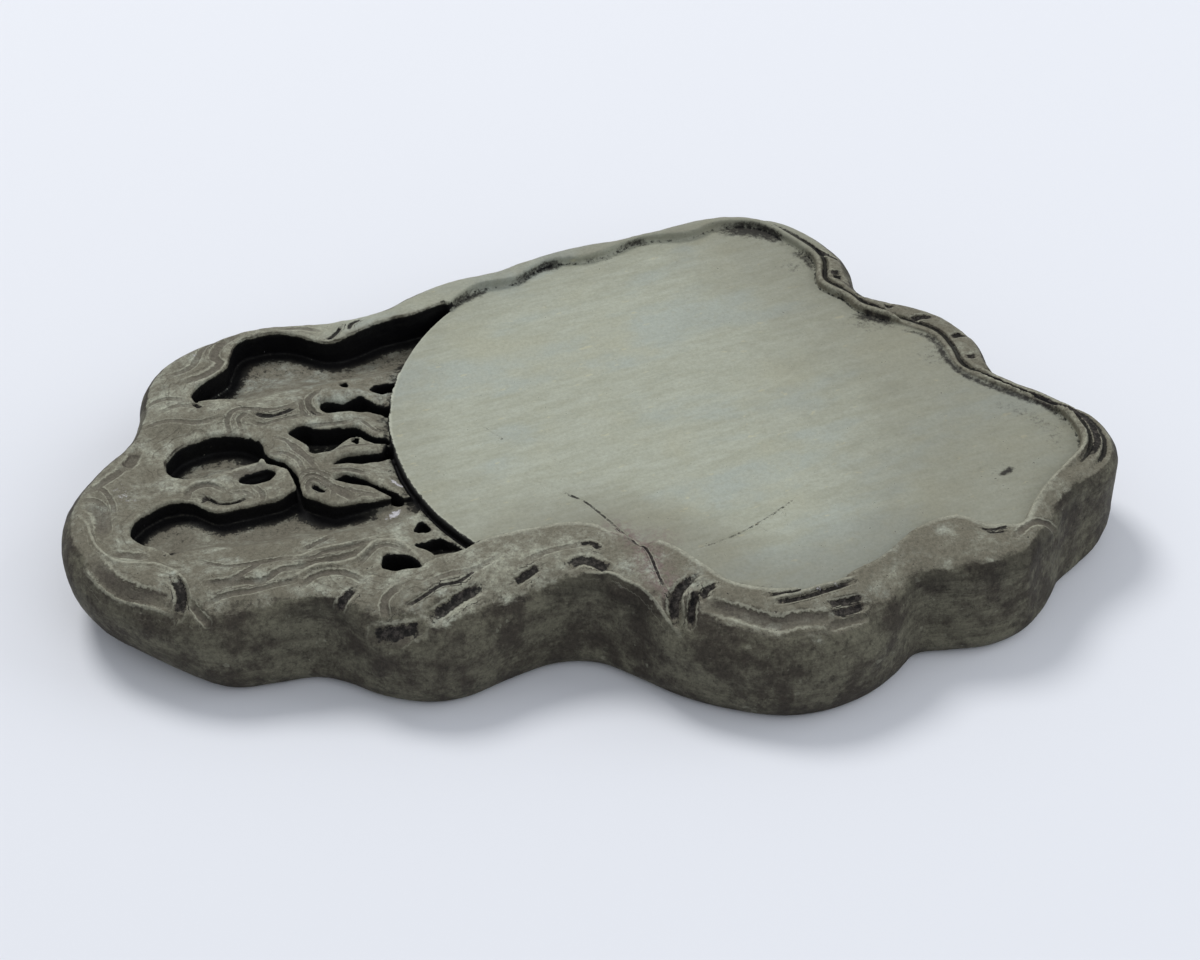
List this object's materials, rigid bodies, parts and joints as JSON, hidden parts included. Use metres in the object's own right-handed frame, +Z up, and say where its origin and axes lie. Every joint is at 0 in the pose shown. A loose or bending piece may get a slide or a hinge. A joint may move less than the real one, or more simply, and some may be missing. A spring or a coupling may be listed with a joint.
{
  "type": "carved inkstone",
  "caption": "Free-form carved stone inkstone: flat grinding hall with a disc edge, ink pools and carved roots at one end.",
  "frame": {"origin": "underside, at the middle of the outline's box", "axes": "+X along the stone from the ink pools to the wide end of the grinding hall, +Y towards its back edge, +Z up out of the grinding hall"},
  "size_m": [0.2556, 0.1702, 0.027],
  "materials": {
    "grey_green_stone": "matte grey-green stone with ink-stained hollows"
  },
  "bodies": {
    "root": {"inkstone": "grey_green_stone"}
  },
  "joints": []
}
